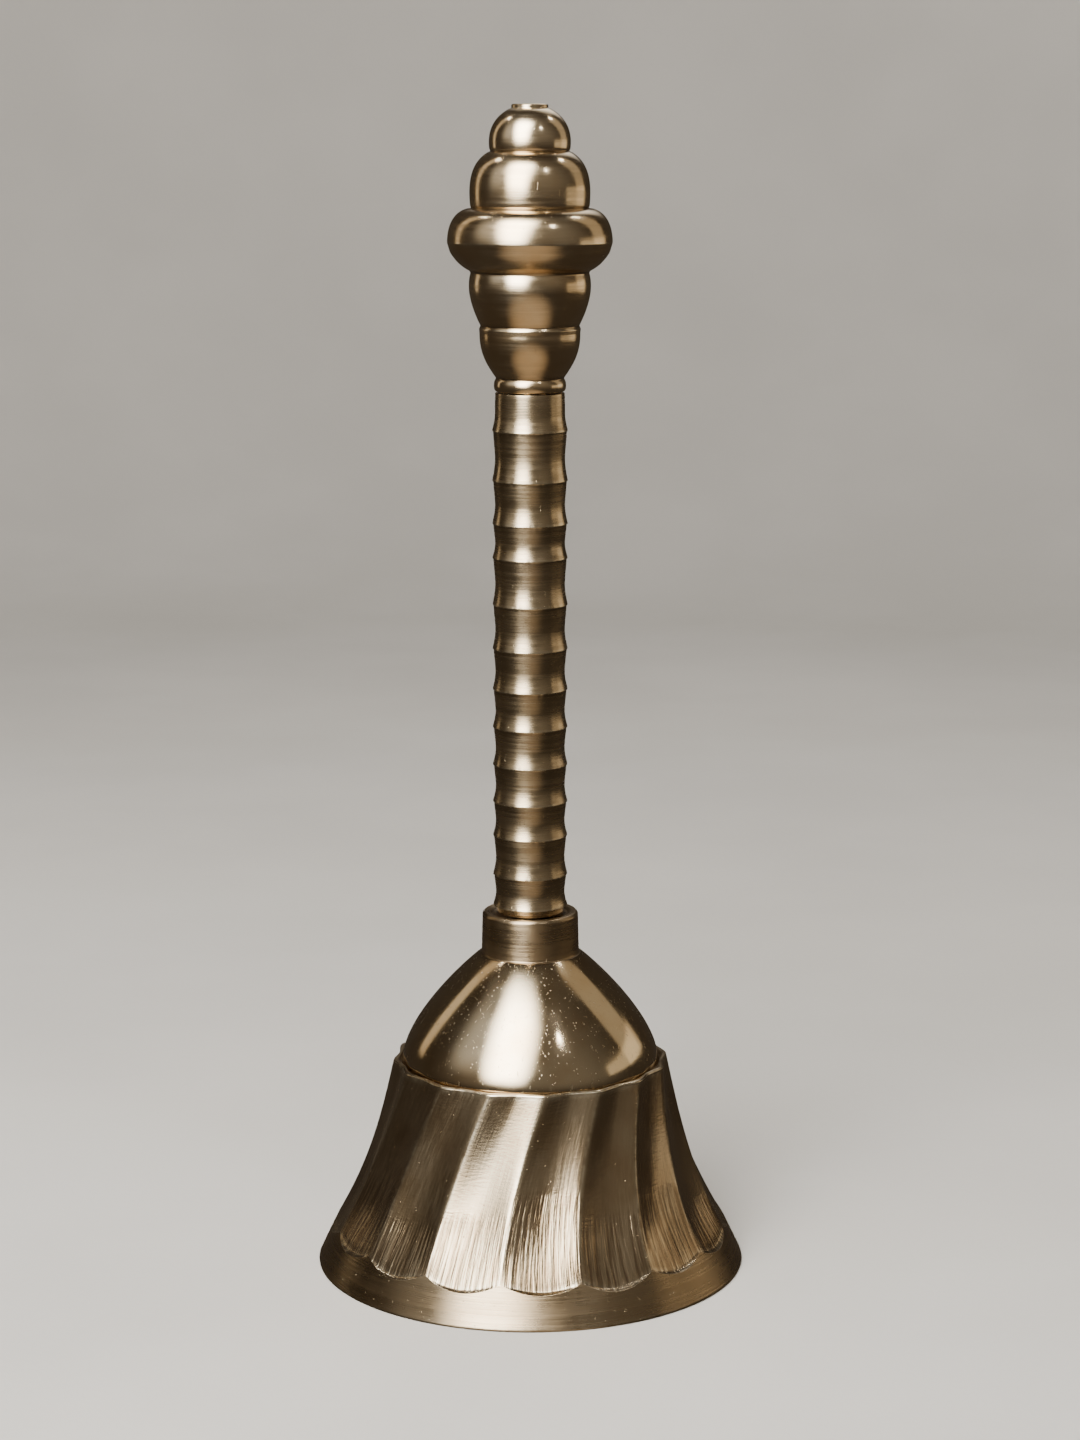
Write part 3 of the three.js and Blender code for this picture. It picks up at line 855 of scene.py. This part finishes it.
# ---------- Hanger and clapper ----------
def tube(path, radius, sides, closed):
    """Points and faces of a round wire along a path in mm; an open wire gets rounded ends."""
    path = np.asarray(path, float)
    ahead = np.roll(path, -1, axis=0) - np.roll(path, 1, axis=0)
    if not closed:
        ahead[0] = path[1] - path[0]
        ahead[-1] = path[-1] - path[-2]
    ahead /= np.linalg.norm(ahead, axis=1)[:, None]
    # Every wire here is bent in one plane, so that plane's normal gives a frame that never twists.
    normal = np.linalg.svd(path - path.mean(axis=0))[2][2]
    side = np.cross(normal, ahead)
    angles = np.arange(sides) * 2 * math.pi / sides
    ring = np.cos(angles)[None, :, None] * side[:, None] + np.sin(angles)[None, :, None] * normal
    vertices = (path[:, None] + ring * radius).reshape(-1, 3)
    faces = grid_faces(len(path), sides, closed)
    if not closed:
        faces += fan_faces(len(vertices), 0, sides, upward=False)
        faces += fan_faces(len(vertices) + 1, (len(path) - 1) * sides, sides, upward=True)
        rounding = 0.25 * radius
        vertices = np.vstack([vertices, path[0] - ahead[0] * rounding, path[-1] + ahead[-1] * rounding])
    return vertices, faces


def arc_points(centre, radius, start, stop, steps, plane):
    """Points of an arc in the XZ or YZ plane, angles in degrees from the plane's first axis."""
    angles = np.radians(np.linspace(start, stop, steps))
    flat = np.stack([radius * np.cos(angles), radius * np.sin(angles)], axis=-1)
    points = np.zeros((steps, 3))
    points[:, 0 if plane == "XZ" else 1] = flat[:, 0]
    points[:, 2] = flat[:, 1] + centre
    return points


def clapper_link():
    """A long loop of wire whose ends nearly meet at the middle of one side."""
    wire = (link_high.x - link_low.x) / 2
    bend = link_high.y - wire
    upper, lower = link_high.z - wire - bend, link_low.z + wire + bend
    middle = (upper + lower) / 2
    half_gap = 0.16
    path = np.vstack([
        [[0, bend, middle + half_gap]],
        arc_points(upper, bend, 0, 180, 40, "YZ"),
        arc_points(lower, bend, 180, 360, 40, "YZ"),
        [[0, bend, middle - half_gap]],
    ])
    vertices, faces = tube(path, wire, 24, False)
    return mesh_piece("clapper_link", vertices, faces, "link", [steel_wire("link_wire")])


def fused(piece, vertices, faces):
    """The piece, joined as one solid with another closed shape in mm."""
    mesh = bpy.data.meshes.new("joined")
    mesh.from_pydata([tuple(v) for v in np.asarray(vertices) * MM], [], faces)
    mesh.shade_smooth()
    other = bpy.data.objects.new("joined", mesh)
    bpy.context.scene.collection.objects.link(other)
    union = piece.modifiers.new("union", "BOOLEAN")
    union.operation = "UNION"
    union.solver = "EXACT"
    union.object = other
    bpy.context.view_layer.update()
    evaluated = piece.evaluated_get(bpy.context.evaluated_depsgraph_get())
    joined = bpy.data.meshes.new_from_object(evaluated)
    piece.modifiers.clear()
    piece.data = joined
    bpy.data.objects.remove(other)
    # Where the two surfaces cross, points closer than a hair are one point.
    hair = 5 * MICRON
    cleaned = bmesh.new()
    cleaned.from_mesh(joined)
    bmesh.ops.remove_doubles(cleaned, verts=cleaned.verts, dist=hair)
    bmesh.ops.dissolve_degenerate(cleaned, edges=cleaned.edges, dist=hair)
    bmesh.ops.triangulate(cleaned, faces=cleaned.faces)
    cleaned.to_mesh(joined)
    cleaned.free()
    return piece


def eye_bolt():
    """A threaded stem with an eye of bent wire under it."""
    wire = 0.8
    bend = 2.0
    stem_radius = 2.0
    chamfer = 0.4
    thread_pitch = 0.7
    thread_depth = 0.28
    eye = bolt_low.z + wire + bend
    stem_foot = eye + bend - 0.5 * wire
    tip = bolt_high.z

    def threaded(radius, height, angles):
        turns = height / thread_pitch - angles / (2 * math.pi)
        tooth = np.abs(2 * (turns % 1) - 1)
        on_stem = (height > stem_foot + 0.6) & (height < tip - 0.3) & (radius > stem_radius - 0.1)
        return radius - np.where(on_stem, thread_depth * tooth, 0), height

    profile = Profile(0, stem_foot).line(stem_radius - chamfer, stem_foot)
    profile.line(stem_radius, stem_foot + chamfer).line(stem_radius, tip - chamfer)
    profile.line(stem_radius - chamfer, tip).line(0, tip)
    stem = profile.done(softness=1, tolerance=0.002, spacing=0.1)
    piece = lathe("eye_bolt", stem, 48, "bell", dull_brass("bolt_brass"), threaded)
    ring = arc_points(eye, bend, 0, 360, 73, "XZ")[:-1]
    return fused(piece, *tube(ring, wire, 24, True))


def crown_washer():
    inner = 2.2
    soft = 0.12
    low, high, outer = washer_low.z, washer_high.z, washer_high.x
    profile = Profile(inner, low + soft).line(inner + soft, low).line(outer - soft, low)
    profile.line(outer, low + soft).line(outer, high - soft).line(outer - soft, high)
    profile.line(inner + soft, high).line(inner, high - soft).line(inner, low + soft)
    material = dull_brass("washer_brass", 0.36)
    return lathe("crown_washer", profile.done(), 96, "bell", material)


def crown_nut():
    hole = 2.2
    chamfer = 0.32
    low, high, flat = nut_low.z, nut_high.z, nut_high.y
    corner = flat / math.cos(math.pi / 6)

    def six_sided(radius, height, angles):
        side = flat / np.cos(angles % (math.pi / 3) - math.pi / 6)
        return np.minimum(radius, side), height

    profile = Profile(hole, low).line(flat, low).line(corner, low + chamfer)
    profile.line(corner, high - chamfer).line(flat, high).line(hole, high).line(hole, low)
    nut = profile.done(softness=1)
    return lathe("crown_nut", nut, 96, "bell", dull_brass("nut_brass", 0.34), six_sided)


def clapper_rod():
    """A straight wire with an eye on top, a stop above the ball and a riveted head below it."""
    wire = 0.6
    bend = 1.6
    stem = 0.9
    stop = 1.5
    play = 0.15
    head_top = rod_low.z + 0.65
    eye = rod_high.z - wire - bend
    stop_foot = (ball_low.z + ball_high.z) / 2 + ball_high.x + play
    profile = Profile(0, rod_low.z).line(1.1, rod_low.z)
    profile.curve((1.7, rod_low.z + 0.05), (1.8, rod_low.z + 0.45))
    profile.line(1.8, head_top).line(stem, head_top).line(stem, stop_foot)
    profile.line(stop, stop_foot).line(stop, stop_foot + 0.6).line(stem, stop_foot + 0.9)
    profile.line(stem, eye - bend).line(0, eye - bend)
    rod = profile.done(softness=1)
    piece = lathe("clapper_rod", rod, 32, "clapper", steel_wire("rod_wire"))
    ring = arc_points(eye, bend, 0, 360, 61, "XZ")[:-1]
    return fused(piece, *tube(ring, wire, 20, True))


def clapper_ball():
    """A ball bored through for the rod."""
    centre, size = (ball_low.z + ball_high.z) / 2, ball_high.x
    bore = 1.15
    edge = math.pi / 2 - math.asin(bore / size)
    angles = np.linspace(-edge, edge, 90)
    outside = np.stack([size * np.cos(angles), centre + size * np.sin(angles)], axis=-1)
    profile = np.vstack([outside, [[bore, centre]], outside[:1]])
    return lathe("clapper_ball", profile, 120, "clapper", dull_brass("ball_brass", 0.3))


# ---------- Stage ----------
PAPER = (0.60, 0.58, 0.55, 1)
PALE_PAPER = (0.64, 0.62, 0.59, 1)
MIDDLE_OF_BELL = Vector((0, 0, 0.08))
TAN_LIGHT = (1.0, 0.82, 0.58)
WHITE_LIGHT = (1.0, 0.98, 0.94)
DARK_ROOM = (0.046, 0.037, 0.028, 1)
FRONT_OF_ROOM = (0.18, 0.156, 0.126, 1)
LOW_GLOW = (0.5, 0.38, 0.26, 1)


def paper(name):
    net = Net(name)
    place = net.coordinates("Object")
    fibre = net.noise(place, scale=900, detail=4)
    cloud = net.noise(place, scale=14, detail=3)
    color = net.blend(net.span(cloud, 0.3, 0.7), PAPER, PALE_PAPER)
    net.surface(color, net.span(fibre, 0.3, 0.7, 0.75, 0.9), net.bump(fibre, 30 * MICRON))
    return net.material


def paper_bowl():
    """A round paper floor that curves up into a wall, so every side has the same plain background.

    Its sizes are in metres, from the small disc in the middle to the top of the wall.
    """
    centre, flat, bend, top = 0.02, 0.5, 0.25, 0.5
    around = 96
    steps = 24
    line = [(centre, 0.0), (flat, 0.0)]
    for i in range(1, steps + 1):
        angle = math.pi / 2 * i / steps
        line.append((flat + bend * math.sin(angle), bend * (1 - math.cos(angle))))
    line.append((flat + bend, top))
    angles = [2 * math.pi * i / around for i in range(around)]
    vertices = [(r * math.cos(a), r * math.sin(a), z) for r, z in line for a in angles]
    faces = grid_faces(len(line), around, False)
    faces.append(tuple(reversed(range(around))))
    mesh = bpy.data.meshes.new("paper_bowl")
    mesh.from_pydata(vertices, [], [tuple(reversed(face)) for face in faces])
    mesh.materials.append(paper("bowl_paper"))
    mesh.shade_smooth()
    floor = bpy.data.objects.new("paper_bowl", mesh)
    bpy.context.scene.collection.objects.link(floor)
    # The brass mirrors the dim room rather than the paper, as it does on a dark table.
    floor.visible_glossy = False


def fade_to_edges(light, edges):
    """Dims a softbox towards its sides, over the given shares of its width and of its height."""
    light.use_nodes = True
    net = Nodes(light.node_tree)
    place = net.tree.nodes.new("ShaderNodeNewGeometry").outputs["Parametric"]
    parts = net.tree.nodes.new("ShaderNodeSeparateXYZ")
    net.put(parts.inputs[0], place)
    fades = []
    for k, share in enumerate(edges):
        away = net.math("ABSOLUTE", net.math("SUBTRACT", parts.outputs[k], 0.5))
        fades.append(net.span(away, 0.5 - share, 0.5, 1.0, 0.0))
    net.put(net.tree.nodes["Emission"].inputs["Strength"], net.math("MULTIPLY", *fades))


def soft_light(name, azimuth, elevation, distance, size, radiance, color, edges):
    """A softbox that faces the middle of the bell.

    The azimuth runs from the front towards the right and the elevation upwards, both in degrees.
    """
    across, up = math.radians(azimuth), math.radians(elevation)
    outward = Vector((math.cos(up) * math.sin(across), -math.cos(up) * math.cos(across), math.sin(up)))
    light = bpy.data.lights.new(name, "AREA")
    light.shape = "RECTANGLE"
    light.size, light.size_y = size
    light.energy = radiance * math.pi * size[0] * size[1]
    light.color = color
    fade_to_edges(light, edges)
    lamp = bpy.data.objects.new(name, light)
    lamp.location = MIDDLE_OF_BELL + distance * outward
    lamp.rotation_euler = (-outward).to_track_quat("-Z", "Y").to_euler()
    lamp.visible_camera = False
    bpy.context.scene.collection.objects.link(lamp)


def white_light(name, azimuth, elevation, distance, size, radiance, edges):
    soft_light(name, azimuth, elevation, distance, size, radiance, WHITE_LIGHT, edges)


def tan_card(name, azimuth, elevation, size, radiance, edges):
    """A card that throws warm light back at the bell from close by."""
    soft_light(name, azimuth, elevation, 0.35, size, radiance, TAN_LIGHT, edges)


def lights():
    white_light("key", -24, 38, distance=0.45, size=(0.47, 0.8), radiance=15, edges=(0.42, 0.34))
    white_light("left_fill", -66, 34, distance=0.4, size=(0.36, 0.5), radiance=0.45, edges=(0.45, 0.4))
    tan_card("right_card", 112, 28, size=(0.16, 0.44), radiance=0.36, edges=(0.04, 0.1))
    tan_card("low_right_card", 101, 5, size=(0.37, 0.09), radiance=0.55, edges=(0.03, 0.05))
    tan_card("left_card", -119, 28, size=(0.07, 0.44), radiance=0.7, edges=(0.08, 0.1))
    white_light("back_fill", 172, 42, distance=0.5, size=(0.4, 0.5), radiance=2.2, edges=(0.45, 0.45))
    # Small lamps that only give the polished parts their bright dots.
    small = {"distance": 0.5, "size": (0.022, 0.05), "radiance": 40, "edges": (0.2, 0.2)}
    white_light("front_lamp", 39, 46, **small)
    white_light("right_lamp", 117, 55, **small)
    white_light("left_lamp", -117, 55, **small)


def room():
    """A dim warm room: lighter in front, dark behind and below, with a glow low in front."""
    world = bpy.data.worlds.new("room")
    world.use_nodes = True
    net = Nodes(world.node_tree)
    direction = net.coordinates("Generated")
    toward_viewer = net.span(net.dot(direction, (0, -1, 0)), -0.3, 0.8)
    upward = net.span(net.dot(direction, (0, 0, 1)), -0.3, 0.25)
    low_in_front = net.span(net.dot(direction, (0, -0.64, -0.77)), 0.72, 0.99)
    color = net.blend(net.math("MULTIPLY", toward_viewer, upward), DARK_ROOM, FRONT_OF_ROOM)
    color = net.blend(low_in_front, color, LOW_GLOW)
    net.put(net.tree.nodes["Background"].inputs["Color"], color)
    bpy.context.scene.world = world


def camera():
    """Where the photo was taken from: in front, level with the top of the bell and tilted down."""
    tilt = 10.789
    lens = bpy.data.cameras.new("camera")
    lens.sensor_fit = "VERTICAL"
    lens.sensor_height = 36
    lens.lens = 80.1
    viewer = bpy.data.objects.new("camera", lens)
    viewer.location = (0.00118, -0.37762, 0.13934)
    viewer.rotation_euler = (math.radians(90 - tilt), 0, 0)
    bpy.context.scene.collection.objects.link(viewer)
    bpy.context.scene.camera = viewer


for build in (
    bell_cup,
    handle_grip,
    finial_knob,
    eye_bolt,
    crown_washer,
    crown_nut,
    clapper_link,
    clapper_rod,
    clapper_ball,
    paper_bowl,
    room,
    lights,
    camera,
):
    build()
